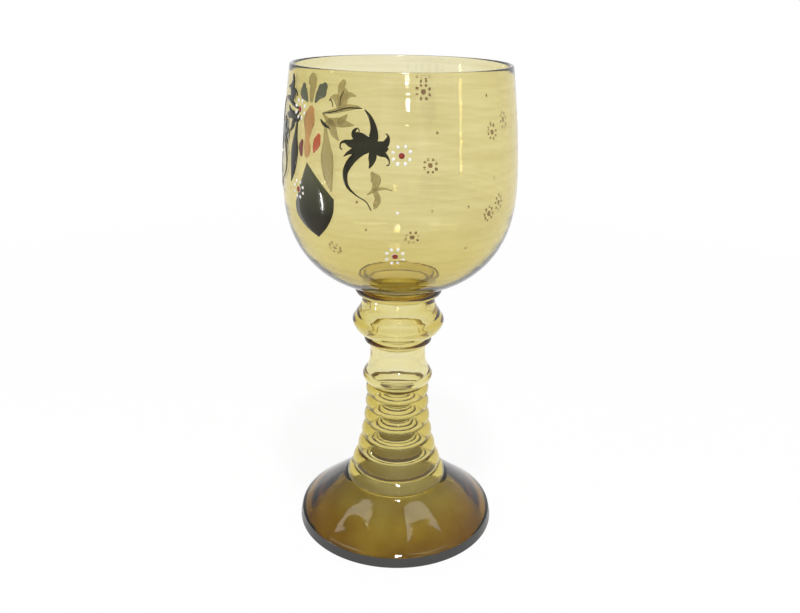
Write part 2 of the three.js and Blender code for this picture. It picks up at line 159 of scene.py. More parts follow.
# glass: what it takes out of red, green and blue light in each mm of thickness, and its small faults.
# The noise scales are per metre; level is how much finer the turned lines run up the glass than round it
glassLook = dict(index=1.5, takes=(0.048, 0.071, 0.235), rippleScale=38, cordScale=22, smearScale=14,
                 haze=0.012, level=(0.6, 0.6, 9))
glassTint = dict(patchScale=45, patchStretch=(1, 1, 1.6), patch=(0.76, 0.64, 0.36),
                 patchGain=2.6, patchCut=0.8,
                 streakScale=36, streakStretch=(0.5, 0.5, 11), streak=(0.88, 0.845, 0.74),
                 cloudScale=20, cloudStretch=(1, 1, 2.2), streakGain=1.8, streakCut=1.3)
# the foot's outer edge band: left dull by grinding, and its near-black colour is painted shade for the shadow
# under the foot that the edge shows
groundEdge = dict(color=(0.035, 0.035, 0.033), roughness=0.15, spread=0.2)  # the foot's dull outer edge


# ripple and cords are heights in mm. Mottle and streaks say how far the tint goes in patches and in streaks
def glassMaterial(name, ripple, cords, strength=1.0, mottle=0, streaks=0):
    shader = Shader(name)
    look, patchy = glassLook, glassTint
    ripples = shader.noise(look["rippleScale"], 2)
    turned = shader.noise(look["cordScale"], 3, look["level"])  # left by the turning of the hot glass
    normal = shader.node("Bump", {}, Height=ripples * ripple + turned * cords, Strength=1.0, Distance=mm)
    smears = shader.noise(look["smearScale"], 4)
    tint = (1.0, 1.0, 1.0)
    if mottle:
        patches = shader.noise(patchy["patchScale"], 4, patchy["patchStretch"])
        patches = (patches * patchy["patchGain"] - patchy["patchCut"]).clamped()
        tint = shader.mix(patches * mottle, tint, patchy["patch"])
    if streaks:
        fine = shader.noise(patchy["streakScale"], 4, patchy["streakStretch"])
        broad = shader.noise(patchy["cloudScale"], 3, patchy["cloudStretch"])
        drawn = fine * patchy["streakGain"] + broad * patchy["streakGain"] - patchy["streakCut"]
        tint = shader.mix(drawn.clamped() * streaks, tint, patchy["streak"])
    glaze = shader.node("BsdfPrincipled", {}, Base_Color=tint, Roughness=smears * look["haze"],
                        IOR=look["index"], Transmission_Weight=1.0, Alpha=1 - shader.attribute("fused"),
                        Normal=normal)
    # the edge band's near-black surface is painted shade, used only where it is seen from outside; from
    # within the glass the band stays clear glass
    shadedBand = shader.node("BsdfPrincipled", {}, Base_Color=groundEdge["color"],
                       Roughness=smears * groundEdge["spread"] + groundEdge["roughness"], Normal=normal)
    fromWithin = shader.tree.nodes.new("ShaderNodeNewGeometry").outputs["Backfacing"]
    outside = shader.attribute("ground") * (1 - Value(shader, fromWithin))
    surface = shader.node("MixShader", {}, outside, glaze, shadedBand)
    most = max(look["takes"])
    color = tuple(1 - share / most for share in look["takes"])
    volume = shader.node("VolumeAbsorption", {}, Color=color, Density=most * strength / mm)
    return shader.finish(surface, volume)


# enamel: how its noise mixes into tone, and what it does to bump, in mm, to roughness and to thin places
enamelLook = dict(strokeScale=2.2, strokeStretch=(1, 1, 0.25), clouds=0.65, strokes=0.35, cut=0.3, gain=2.2,
                  fadeTone=0.25, fadeCut=0.1, bump=0.25, bumpHeight=0.1, spread=0.12, wear=0.5)


# where fade is given, the enamel runs from pale at the upper of its two heights, in mm, to dark at the lower
# one. Glow is painted light: the enamel gives off its own colour, standing in for light through its back
# where it shows through the glass
def enamelMaterial(name, dark, pale, roughness, grain=90, cover=1.0, fade=None, shine=0.5, paintedGlow=0.0):
    shader, look = Shader(name), enamelLook
    clouds = shader.noise(grain, 5)
    strokes = shader.noise(grain * look["strokeScale"], 3, look["strokeStretch"])
    tone = (clouds * look["clouds"] + strokes * look["strokes"] - look["cut"]) * look["gain"]
    if fade:
        ways = shader.node("SeparateXYZ", {}, shader.place())
        height = Value(shader, ways.socket.node.outputs["Z"])
        rise = shader.node("MapRange", {}, Value=height, From_Min=fade[0] * mm, From_Max=fade[1] * mm)
        tone = tone * look["fadeTone"] + rise - look["fadeCut"]
    color = shader.mix(tone.clamped(), dark, pale)
    bump = shader.node("Bump", {}, Height=strokes + clouds, Strength=look["bump"],
                       Distance=look["bumpHeight"] * mm)
    extra = {}
    if cover < 1:
        extra["Alpha"] = (cover + (strokes - 0.5) * look["wear"]).clamped()
    surface = shader.node("BsdfPrincipled", {}, Base_Color=color,
                          Roughness=clouds * look["spread"] + roughness,
                          Specular_IOR_Level=shine, Normal=bump, Emission_Color=color,
                          Emission_Strength=paintedGlow, **extra)
    return shader.finish(surface)


materials = dict(
    bowlGlass=glassMaterial("amberGlassBowl", 0.1, 0.09, 1.0, streaks=0.9),
    stemGlass=glassMaterial("amberGlassStem", 0.5, 0.16, 0.95),
    # the foot's glass takes light more strongly than the rest: partly deeper glass, partly painted shade for
    # the dark that the foot shows of the shadow under it
    footGlass=glassMaterial("amberGlassFoot", 0.3, 0.05, 1.9, mottle=0.85),
    dark=enamelMaterial("oliveBlackEnamel", (0.009, 0.008, 0.004), (0.042, 0.04, 0.02), 0.12, shine=0.2),
    grey=enamelMaterial("greyOliveEnamel", (0.07, 0.078, 0.042), (0.13, 0.135, 0.08), 0.16, shine=0.3),
    shield=enamelMaterial("shieldEnamel", (0.018, 0.015, 0.004), (0.11, 0.115, 0.065), 0.04, 70,
                          fade=(186, 214), shine=0.22),
    ochre=enamelMaterial("ochreEnamel", (0.24, 0.18, 0.045), (0.42, 0.33, 0.11), 0.3, 60, 0.58),
    terracotta=enamelMaterial("terracottaEnamel", (0.37, 0.175, 0.045), (0.55, 0.31, 0.1), 0.3, 80, 0.92),
    orange=enamelMaterial("orangeEnamel", (0.36, 0.07, 0.025), (0.5, 0.13, 0.05), 0.2, shine=0.3),
    darkRed=enamelMaterial("darkRedEnamel", (0.09, 0.012, 0.008), (0.2, 0.03, 0.018), 0.1),
    red=enamelMaterial("redEnamel", (0.2, 0.022, 0.01), (0.32, 0.05, 0.022), 0.15, 200, shine=0.25),
    white=enamelMaterial("whiteEnamel", (0.72, 0.7, 0.62), (0.9, 0.89, 0.83), 0.15, 200),
    # the backs of the drops, seen through the glass: a brown painted shade with a painted glow under white
    # drops, and a red with a stronger painted glow under red hearts
    ground=enamelMaterial("brownPaintedShade", (0.2, 0.11, 0.045), (0.36, 0.22, 0.1), 0.5, 200, paintedGlow=0.6),
    redBackPaintedGlow=enamelMaterial("redEnamelBack", (0.22, 0.03, 0.012), (0.36, 0.06, 0.025), 0.5, 200, paintedGlow=1.0),
)
print("materials made")


def evenly(start, end, steps):
    return [lerp(start, end, step / steps) for step in range(steps + 1)]


# a smooth run through a few points, with the given steps between each pair
def smoothRun(points, steps=6):
    points = [Vector(point) for point in points]
    ends = [2 * points[0] - points[1], *points, 2 * points[-1] - points[-2]]
    run = []
    for a, b, c, d in zip(ends, ends[1:], ends[2:], ends[3:]):
        for step in range(steps):
            t = step / steps
            run.append(0.5 * (2 * b + (c - a) * t + (2 * a - 5 * b + 4 * c - d) * t ** 2
                              + (3 * b - a - 3 * c + d) * t ** 3))
    run.append(points[-1])
    return run


def newPiece(name, bm, used):
    mesh = bpy.data.meshes.new(name)
    bm.to_mesh(mesh)
    bm.free()
    for material in used:
        mesh.materials.append(material)
    piece = bpy.data.objects.new(name, mesh)
    bpy.context.scene.collection.objects.link(piece)
    return piece


# turns the runs of a profile, in mm, about the axis. Each run is (points, fused): fused where it meets other
# glass, and None where its outer side is left dull by grinding and painted near-black, a painted shade
def turnGlass(name, runs, material, turns=144):
    bm = bmesh.new()
    fused, ground = bm.faces.layers.float.new("fused"), bm.faces.layers.float.new("ground")
    part = bm.faces.layers.int.new("run")
    spokes = [(cos(2 * pi * turn / turns), sin(2 * pi * turn / turns)) for turn in range(turns)]
    for number, (points, isFused) in enumerate(runs):
        rings = []
        for radius, height in points:
            if radius < 1e-6:
                rings.append([bm.verts.new((0, 0, height * mm))] * turns)
            else:
                ring = [bm.verts.new((radius * x * mm, radius * y * mm, height * mm)) for x, y in spokes]
                rings.append(ring)
        for low, high in zip(rings, rings[1:]):
            for here in range(turns):
                after = (here + 1) % turns
                face = bm.faces.new(dict.fromkeys((low[here], low[after], high[after], high[here])))
                face[fused] = float(bool(isFused))
                face[ground] = float(isFused is None)
                face[part] = number
    bmesh.ops.remove_doubles(bm, verts=bm.verts[:], dist=1e-6)
    bmesh.ops.recalc_face_normals(bm, faces=bm.faces[:])
    for face in bm.faces:
        face.smooth = True
    for edge in bm.edges:
        if len(edge.link_faces) == 2 and edge.link_faces[0][part] != edge.link_faces[1][part]:
            edge.smooth = False
    piece = newPiece(name, bm, [material])
    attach(piece, "root")
    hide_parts(name)


# bowl, in mm. Its shape is that of the solid: a rounded bottom, widest at widestHeight, drawn in above
bowlSize = dict(totalHeight=250, radius=58.2, widestHeight=194, depth=56.45, roundness=2.4, taper=1.62,
                rimRadius=53.3, wall=2.2, floor=3.4, seatRadius=21.6, seatBore=19.4, seatClear=0.4)
lipRadius = bowlSize["wall"] / 2
lipHeight = bowlSize["totalHeight"] - lipRadius


def bowlBottom(radius, depth, fromRadius, steps):
    power = 2 / bowlSize["roundness"]
    start = acos((fromRadius / radius) ** (1 / power))
    run = []
    for step in range(steps + 1):
        angle = start * (1 - step / steps)
        run.append((radius * cos(angle) ** power, bowlSize["widestHeight"] - depth * sin(angle) ** power))
    return run


def bowlRadiusAt(height):
    size = bowlSize
    if height < size["widestHeight"]:
        down = (size["widestHeight"] - height) / size["depth"]
        return size["radius"] * (1 - down ** size["roundness"]) ** (1 / size["roundness"])
    up = (height - size["widestHeight"]) / (lipHeight - size["widestHeight"])
    return size["radius"] - (size["radius"] - size["rimRadius"]) * up ** size["taper"]


def bowlTop(inset, steps):
    heights = evenly(bowlSize["widestHeight"], lipHeight, steps)[1:]
    return [(bowlRadiusAt(height) - inset, height) for height in heights]


seatHeight = bowlBottom(bowlSize["radius"], bowlSize["depth"], bowlSize["seatRadius"], steps=1)[0][1]


def makeBowl():
    size = bowlSize
    outside = bowlBottom(size["radius"], size["depth"], size["seatRadius"], steps=40) + bowlTop(0, steps=16)
    lip, lipSteps = [], 12
    for step in range(1, lipSteps):
        angle = pi * step / lipSteps
        across = size["rimRadius"] - lipRadius + lipRadius * cos(angle)
        lip.append((across, lipHeight + lipRadius * sin(angle)))
    innerDepth = size["depth"] - size["floor"]
    inside = bowlBottom(size["radius"] - size["wall"], innerDepth, 0, steps=48)
    inside += bowlTop(size["wall"], steps=16)
    underside = bowlBottom(size["radius"], size["depth"], 0, steps=48)
    underside = [spot for spot in underside if spot[0] < size["seatBore"] - size["seatClear"]]
    underside.append((size["seatBore"], seatHeight))
    seat = [(size["seatBore"], seatHeight), (size["seatRadius"], seatHeight)]
    turnGlass("bowl", [(underside, False), (seat, True), (outside + lip + inside[::-1], False)],
              materials["bowlGlass"], turns=192)


makeBowl()
print("bowl turned")


# a profile's points, from shares of the way from a narrow to a wide radius and from a low to a high height
def between(shares, narrow, wide, low, high):
    return [(lerp(narrow, wide, out), lerp(low, high, up)) for out, up in shares]


# collars and the large hollow knop, in mm, hung from the bowl's seat, and the shares of their profiles
knopSize = dict(upperCollar=22.9, upperHeight=6.6, neck=18.9, radius=24.3, wall=2.2, height=22, foot=16.9,
                lowerCollar=18, lowerHeight=5.6, lowerBore=13.7, lowerWidestAt=0.45, lowerBoreAt=0.4)
knopShape = dict(upperEdge=((1, 0.6), (0.86, 0.3), (0.4, 0.12), (0, 0)),
                 upperBore=((0, 0), (0.2, 0.3), (0.75, 0.75)),
                 under=((0, 0), (0.62, 0.11)), over=((1, 0.35), (0.67, 0.53), (0.17, 0.75)),
                 inside=((0, 0.8), (0.3, 0.6), (0.6, 0.4), (0.5, 0.2)))
upperBase = seatHeight - knopSize["upperHeight"]
knopBase = upperBase - knopSize["height"]
lowerBase = knopBase - knopSize["lowerHeight"]
stemSize = dict(top=15, neck=14.8, knop=18.8, knopHeight=88, wall=2.1, woundWall=1.6, knopLip=1.4,
                flare=2.17, woundInset=3)
stemShape = dict(under=((0, 0), (0.66, 0.33)), over=((1, 0), (0.42, 0.24), (0.1, 0.45), (0, 0.74)),
                 inside=((0, 0.6), (0.15, 0.4), (0.6, 0.2), (1, 0)), insideUnder=((0.45, 0.45), (0, 0)))


def makeCollars():
    size, shape = knopSize, knopShape
    top = seatHeight - hairline
    edge = between(shape["upperEdge"], size["neck"], size["upperCollar"], upperBase, seatHeight)
    edge = smoothRun([(bowlSize["seatRadius"], top), *edge])
    neckBore, seatBore = size["neck"] - size["wall"], bowlSize["seatBore"]
    bore = between(shape["upperBore"], neckBore, seatBore, upperBase, seatHeight)
    bore = smoothRun([*bore, (seatBore, top)])
    turnGlass("upper_collar", [([(seatBore, top), (bowlSize["seatRadius"], top)], True), (edge, False),
                               ([(size["neck"], upperBase), (neckBore, upperBase)], True), (bore, False)],
              materials["stemGlass"])
    top = upperBase - hairline
    under = between(shape["under"], size["foot"], size["radius"], knopBase, upperBase)
    over = between(shape["over"], size["neck"], size["radius"], knopBase, upperBase)
    outer = smoothRun([*under, *over, (size["neck"], top)])
    footBore = size["foot"] - size["wall"]
    inside = between(shape["inside"], neckBore, size["radius"] - size["wall"], knopBase, upperBase)
    inner = smoothRun([(neckBore, top), *inside, (footBore, knopBase)])
    turnGlass("ring_knop", [(outer, False), ([(size["neck"], top), (neckBore, top)], True),
                            (inner, False), ([(footBore, knopBase), (size["foot"], knopBase)], True)],
              materials["stemGlass"])
    top = knopBase - hairline
    edge = smoothRun([(stemSize["top"], lowerBase),
                      (size["lowerCollar"], lowerBase + size["lowerWidestAt"] * size["lowerHeight"]),
                      (size["foot"], top)])
    stemBore = stemSize["top"] - stemSize["wall"]
    bore = smoothRun([(footBore, top),
                      (size["lowerBore"], lowerBase + size["lowerBoreAt"] * size["lowerHeight"]),
                      (stemBore, lowerBase)])
    turnGlass("lower_collar", [(edge, False), ([(size["foot"], top), (footBore, top)], True), (bore, False),
                               ([(stemBore, lowerBase), (stemSize["top"], lowerBase)], True)],
              materials["stemGlass"])


makeCollars()
print("collars and knop turned")


# stem and its wound rings, in mm
ringSize = dict(count=7, firstHeight=79, pitch=8.05, growth=0.1, firstRadius=17.1, lastRadius=27.6,
                depth=2.4, edge=0.5, fullness=0.7)
footSize = dict(radius=54.5, top=24.6, edgeHeight=5.2, draft=0.8, edgeRound=1.1, topLip=2, rest=4.5,
                bevel=0.6, bevelMiddle=0.3, roundReach=0.55, roundMiddle=(0.45, 0.2), flarePull=(0.22, 0.79),
                hollowPull=(0.6, 0.47), edgeSteps=5, shadedBandSteps=17)


def ringHeight(order):
    return ringSize["firstHeight"] - ringSize["pitch"] * order - ringSize["growth"] * order ** 2


def ringBase(order):
    return footSize["top"] if order == ringSize["count"] - 1 else ringHeight(order + 0.5)


def stemCore(height):
    size = ringSize
    drop = (size["firstHeight"] - height) / (size["firstHeight"] - ringHeight(size["count"] - 1))
    spread = (size["lastRadius"] - size["firstRadius"]) * max(drop, 0) ** stemSize["flare"]
    return size["firstRadius"] - size["depth"] + spread


# the wound part's outer face: each ring bulges out between its two edges
def woundRadius(height):
    size = ringSize
    order = sum(height < ringBase(order) for order in range(size["count"] - 1))
    top, base = ringHeight(order - 0.5), ringBase(order)
    share = (height - base) / (top - base)
    bulge = (size["depth"] - size["edge"]) * max(sin(pi * share), 0) ** size["fullness"]
    return lerp(stemCore(base), stemCore(top), share) + size["edge"] + bulge


def makeStem():
    size, shape, rings = stemSize, stemShape, ringSize
    top = lowerBase - hairline
    bottom = footSize["top"]
    woundTop = ringHeight(-0.5)
    root = stemCore(woundTop) + size["knopLip"]
    ringTopEdge = stemCore(woundTop) + rings["edge"]
    under = between(shape["under"], root, size["knop"], woundTop, size["knopHeight"])
    over = between(shape["over"], size["neck"], size["knop"], size["knopHeight"], lowerBase)
    outer = smoothRun([*under, *over, (size["top"], top)])
    core = [(stemCore(height), height) for height in evenly(bottom, woundTop, 40)]
    bore, cavity = size["top"] - size["wall"], size["knop"] - size["wall"]
    wound = [(stemCore(height) - size["woundWall"], height)
             for height in evenly(woundTop - size["woundInset"], bottom, 140)]
    inside = between(shape["inside"], bore, cavity, size["knopHeight"], lowerBase)
    insideUnder = between(shape["insideUnder"], wound[0][0], cavity, wound[0][1], size["knopHeight"])
    inner = smoothRun([(bore, top), *inside, *insideUnder]) + wound[1:]
    turnGlass("stem", [(outer, False), ([outer[-1], inner[0]], True), (inner, False),
                       ([inner[-1], core[0]], True), (core, True),
                       ([(stemCore(woundTop), woundTop), (ringTopEdge, woundTop)], True),
                       ([(ringTopEdge, woundTop), (root, woundTop)], False)], materials["stemGlass"])


def makeRing(order):
    top, base = ringHeight(order - 0.5) - hairline, ringBase(order)
    heights = evenly(base, top, 20)
    outer = [(woundRadius(height), height) for height in heights]
    seat = [(stemCore(height) + hairline, height) for height in heights]
    turnGlass(f"thread_ring_{order + 1}",
              [(outer, False), ([outer[-1], seat[-1]], True), (seat[::-1], True),
               ([seat[0], outer[0]], True)], materials["stemGlass"])


makeStem()
for order in range(ringSize["count"]):
    makeRing(order)
print("stem and rings turned")


def curve(start, pull, end, steps=28):
    return [start * (1 - t) ** 2 + 2 * pull * t * (1 - t) + end * t ** 2 for t in evenly(0, 1, steps)]


def makeFoot():
    size = footSize
    top = size["top"] - hairline
    restOuter = size["radius"] - size["bevel"]
    restInner = restOuter - size["rest"]
    edgeRadius = size["radius"] - size["draft"]
    shoulder = edgeRadius - size["edgeRound"]
    fusedTo = stemCore(top) + ringSize["edge"]
    topRadius = fusedTo + size["topLip"]
    reach, bevel = size["roundReach"] * size["edgeRound"], size["bevelMiddle"] * size["bevel"]
    inward, upward = [share * size["edgeRound"] for share in size["roundMiddle"]]
    start = Vector((shoulder, size["edgeHeight"] + reach))
    pullOut, pullUp = size["flarePull"]
    pull = Vector((lerp(topRadius, shoulder, pullOut), lerp(size["edgeHeight"], top, pullUp)))
    flare = curve(start, pull, Vector((topRadius, top)))
    rounded = smoothRun([(restOuter, 0), (size["radius"] - bevel, bevel), (size["radius"], size["bevel"]),
                         (edgeRadius, size["edgeHeight"] - reach),
                         (edgeRadius - inward, size["edgeHeight"] + upward), start], size["edgeSteps"])
    mouth = stemCore(top) - stemSize["woundWall"]
    pullOut, pullUp = size["hollowPull"]
    hollow = curve(Vector((mouth, top)), Vector((lerp(mouth, restInner, pullOut), pullUp * top)),
                   Vector((restInner, 0)))
    # the lowest steps of the edge's round take the near-black band of painted shade
    shadedBand = size["shadedBandSteps"]
    turnGlass("foot", [(rounded[:shadedBand + 1], None),
                       (rounded[shadedBand:] + flare[1:] + [(fusedTo, top)], False),
                       ([(fusedTo, top), (mouth, top)], True), (hollow, False),
                       ([(restInner, 0), (restOuter, 0)], False)], materials["footGlass"], turns=192)


makeFoot()
print("foot turned")


# painting: a spot is given by its degrees from the crest's axis and its height in hundredths, seat to rim
paintSize = dict(crestAzimuth=-46, gap=0.03, edge=0.05, body=0.16, shieldBody=0.28, veinBody=0.05,
                 endFall=10, sideFall=4, slopeSpan=0.4)
strokeSize = dict(leastWidth=0.3, capReach=0.7, capWidth=0.72)  # shares of half the stroke's width


def onBowl(across, up, off):
    azimuth = radians(paintSize["crestAzimuth"] + across)
    height = lerp(seatHeight, bowlSize["totalHeight"], up / 100)
    span = paintSize["slopeSpan"]
    slope = (bowlRadiusAt(height + span) - bowlRadiusAt(height - span)) / (2 * span)
    normal = Vector((1, -slope)).normalized()
    radius = bowlRadiusAt(height) + off * normal[0]
    return Vector((sin(azimuth) * radius, -cos(azimuth) * radius, height + off * normal[1])) * mm


# a field of enamel between two edges that run side by side, thin at its rim and fuller inside
def paintField(bm, left, right, material=0, body=None, lift=0):
    body = body or paintSize["body"]
    count = len(left) - 1
    u, v = bm.verts.layers.float["u"], bm.verts.layers.float["v"]
    grid = bmesh.ops.create_grid(bm, x_segments=count, y_segments=6, size=1)["verts"]
    for vert in grid:
        vert[u], vert[v] = (vert.co.x + 1) / 2, vert.co.y
    faces = list({face for vert in grid for face in vert.link_faces})
    raised = bmesh.ops.extrude_face_region(bm, geom=faces, use_keep_orig=True)["geom"]
    top = [item for item in raised if isinstance(item, bmesh.types.BMVert)]
    heights = {vert: 0 for vert in grid}
    for vert in top:
        ends = 1 - abs(2 * vert[u] - 1) ** paintSize["endFall"]
        sides = 1 - vert[v] ** paintSize["sideFall"]
        heights[vert] = paintSize["edge"] + body * max(sides, 0) * max(ends, 0)
    for vert, height in heights.items():
        step = round(vert[u] * count)
        across = lerp(left[step], right[step], (vert[v] + 1) / 2)
        vert.co = onBowl(across[0], across[1], paintSize["gap"] + lift + height)
    for face in {face for vert in heights for face in vert.link_faces}:
        face.material_index = material
        face.smooth = True


# the two edges of a stroke, with a rounded cap at each end
def strokeEdges(spots, steps=7):
    line = smoothRun([spot[:2] for spot in spots], steps)
    widths = smoothRun([(order, spot[2]) for order, spot in enumerate(spots)], steps)
    left, right = [], []
    for order, spot in enumerate(line):
        along = (line[min(order + 1, len(line) - 1)] - line[max(order - 1, 0)]).normalized()
        side = Vector((-along[1], along[0])) * max(widths[order][1], strokeSize["leastWidth"]) / 2
        left.append(spot + side)
        right.append(spot - side)
    caps = []
    for end, beside in ((0, 1), (-1, -2)):
        tip = line[end]
        outward = (tip - line[beside]).normalized() * (left[end] - tip).length
        reached = tip + outward * strokeSize["capReach"]
        corners = [reached + (edges[end] - tip) * strokeSize["capWidth"] for edges in (left, right)]
        caps.append([tip + outward, *corners])
    (tipStart, startLeft, startRight), (tipEnd, endLeft, endRight) = caps
    return [tipStart, startLeft, *left, endLeft, tipEnd], [tipStart, startRight, *right, endRight, tipEnd]


# a piece of enamel: draw fills its mesh, and used names its materials in the order of their numbers
def paintPiece(node, draw, used):
    bm = bmesh.new()
    bm.verts.layers.float.new("u")
    bm.verts.layers.float.new("v")
    draw(bm)
    bmesh.ops.remove_doubles(bm, verts=bm.verts[:], dist=2e-6)
    bmesh.ops.recalc_face_normals(bm, faces=bm.faces[:])
    piece = newPiece(node.replace("enamel_", "painted_"), bm, [materials[name] for name in used])
    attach(piece, "root")
    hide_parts(node)


# brush strokes, each a run of spots and widths. Side -1 mirrors them to the crest's left
def paintStrokes(node, strokes, material, slot, side=1, veins=()):
    def edges(spots):
        return strokeEdges([(side * spot[0], *spot[1:]) for spot in spots])

    def draw(bm):
        for spots in strokes:
            paintField(bm, *edges(spots))
        for spots in veins:
            paintField(bm, *edges(spots), 1, paintSize["veinBody"], paintSize["body"])

    paintPiece(node, draw, [material, "dark"] if veins else [material])


scrollStrokes = [
    [(30, 86, 0.5), (32.4, 83.4, 1.6), (34, 79.8, 2.8), (34.2, 76, 4.2), (33.3, 72.2, 3.8)],
    [(32.4, 71.6, 2.8), (28.2, 69.6, 2.9), (24, 66.1, 3.3), (21.5, 61.5, 2.6), (22.5, 56.5, 1.5),
     (26.6, 53.1, 0.6), (31.2, 50.8, 0.5), (33.5, 47.5, 0.5)],
    [(32.9, 74.4, 2.8), (29, 75.5, 3.6), (25.7, 76.3, 3.3), (25.3, 77.9, 1.7), (26.8, 79, 0.5),
     (27.7, 78, 0.5)],
    [(32.6, 73.8, 3), (28.1, 73.6, 3.8), (24.1, 73, 3.3), (20.9, 73.6, 1.4), (18.9, 72.8, 0.8),
     (18.7, 71, 0.7), (19.6, 70.5, 0.5)],
    [(30.7, 72.6, 2.2), (26.2, 70.7, 2.8), (22.9, 69.4, 1.5), (20.7, 68, 0.5)],
    [(34.2, 73.3, 2.2), (37.1, 73.7, 1.8), (39.2, 73.4, 3.1), (40.4, 75.2, 2.1), (40.5, 76.8, 0.7),
     (39.6, 77.4, 0.5)],
    [(34.6, 72.3, 2.8), (37.1, 71.8, 3.3), (39.6, 71.7, 2.5), (40.7, 71.9, 0.5)],
    [(34.9, 71.2, 2.8), (37.6, 70.1, 2.8), (39.8, 69.1, 1.5), (41.1, 67.5, 0.7), (41.1, 65.8, 0.5),
     (40.2, 65.4, 0.5)],
    [(34.3, 71.2, 3.5), (33.8, 67.9, 3.5), (33.4, 65.9, 2.1), (32.5, 64.1, 0.5)],
]
mantlingStrokes = [
    [(8.3, 83.4, 0.8), (14.7, 84.7, 1.8), (21.3, 86.4, 2.5), (26.2, 86.8, 1.3), (28.4, 86.4, 0.5)],
    [(18, 86.7, 3.6), (16.1, 89.2, 3.9), (13.4, 89.9, 1.5), (11.7, 88.6, 0.6)],
    [(18.9, 87.3, 4.4), (18.8, 91.2, 5.8), (17.8, 93.8, 3.3), (19, 95.6, 2.6)],
    [(19.6, 90.2, 3.4), (22.4, 91.3, 2), (25.4, 91, 0.5)],
    [(8.4, 83.3, 0.9), (11.9, 80.9, 2.3), (18, 80.6, 3.7), (22.2, 80.2, 2.1), (24.9, 80, 0.5)],
    [(13.5, 79.6, 3.9), (14.9, 77, 3.7), (16.5, 74.9, 2), (17.8, 73.7, 0.5)],
    [(12.7, 80.6, 2.5), (9.7, 79.2, 1.8), (7.5, 80, 0.5)],
    [(18, 81, 3.1), (20.5, 82.7, 1.8), (21.5, 83.8, 0.5)],
    [(10.1, 79.3, 1.2), (11.1, 72.8, 3.6), (11.7, 66.7, 7.1), (12.8, 59.4, 5.3), (14.5, 53.6, 1.1)],
]
mantlingVeins = [
    [(7.4, 80.9, 0.7), (9.7, 79.2, 1.3), (12.6, 78, 0.6)],
    [(12.1, 88.9, 0.5), (13.3, 88.2, 0.5), (14, 86.3, 0.4)],
    [(9.6, 83.6, 0.4), (15, 84.6, 0.5), (21.5, 86.3, 0.5), (28, 86.5, 0.5)],
    [(17.6, 87.2, 0.4), (17.9, 90, 0.5), (19.3, 92.4, 0.4)],
]
tailLeafStrokes = [
    [(34.1, 61.9, 2.1), (35.4, 59.9, 4.7), (35.5, 57.7, 3.1), (34.3, 55.4, 1.5), (31.9, 53.7, 0.5)],
    [(34.9, 55.8, 1.8), (36.5, 52.1, 2.7), (35.5, 49.5, 2.4), (34.9, 48.2, 0.6)],
    [(35.7, 56, 1.7), (39.6, 56.4, 0.8), (42.6, 55.7, 0.5)],
]
for side, hand in ((1, "right"), (-1, "left")):
    paintStrokes(f"enamel_scroll_{hand}", scrollStrokes, "dark", "enamel_dark", side)
    mantling = ("ochre", "enamel_ochre") if side > 0 else ("dark", "enamel_dark")
    paintStrokes(f"enamel_mantling_{hand}", mantlingStrokes, *mantling, side, mantlingVeins)
    paintStrokes(f"enamel_tail_leaf_{hand}", tailLeafStrokes, "ochre", "enamel_ochre", side)
crest = dict(
    plume=([(0.3, 95.3, 6.2), (0.8, 93.6, 4.6), (0.5, 91, 3.5), (0.3, 88.1, 2.6)], "ochre", "enamel_ochre"),
    lobe_right=([(8.6, 93.5, 3.5), (7.2, 92, 5.8), (4.9, 89.9, 3.7), (3.3, 87.6, 1.5)],
                "grey", "enamel_dark"),
    lobe_left=([(-6.2, 92.4, 3.6), (-6.1, 90.5, 5.8), (-4.1, 88.8, 3.6), (-2.6, 87.4, 1.4)],
               "grey", "enamel_dark"),
    stalk=([(0.6, 83.5, 4.8), (0, 81.5, 7), (-0.6, 78.8, 7.6), (-0.9, 75.5, 4.7), (-1.2, 72, 3.4),
            (-0.8, 69, 4.8), (-1.1, 66.6, 3.6)],
           "terracotta", "enamel_terracotta"),
    bud_right=([(6.5, 74.2, 2.6), (5.5, 71.9, 4.4), (4.3, 69.4, 3), (3.8, 68, 1.3)],
               "orange", "enamel_terracotta"),
    bud_left=([(-4.9, 71, 2), (-5.9, 68.5, 3.6), (-5.3, 65.8, 2)], "darkRed", "enamel_red"),
)
for name, (spots, material, slot) in crest.items():
    paintStrokes(f"enamel_{name}", [spots], material, slot)


def paintShield():
    tip, foot = (-0.8, 63.2), (5.3, 32.5)
    rightCorner, leftCorner = (15.9, 50.1), (-10.4, 44.6)
    right = smoothRun([tip, (6.3, 57.7), rightCorner], steps=8)
    right += smoothRun([rightCorner, (15.2, 44.1), (11.4, 37.9), foot], steps=6)[1:]
    left = smoothRun([tip, (-5.9, 53.4), leftCorner], steps=8)
    left += smoothRun([leftCorner, (-9.5, 40.3), (-3.3, 35.9), foot], steps=6)[1:]
    paintPiece("enamel_shield", lambda bm: paintField(bm, left, right, 0, paintSize["shieldBody"]),
               ["shield"])


paintShield()
print("fields painted")


# flowers and single dots, in mm. Flattened and the last share are shares of a drop's height: how much of its
# lower half is left, and how much of it is painted brown, a painted shade for the drop's back seen through
# the glass. The spreads are how far hand-laid drops wander
dotSize = dict(heart=1.36, halo=1.55, haloNarrow=0.94, haloHeight=0.14, ring=3.85, petal=0.78, length=1.2,
               height=0.34, single=0.75, singleHeight=0.3, petals=8, heartLift=0.08, flattened=0.12,
               ground=0.16)
flowerSpread = dict(heart=0.15, angle=0.06, reach=0.2, narrowest=0.88, widest=1.1)
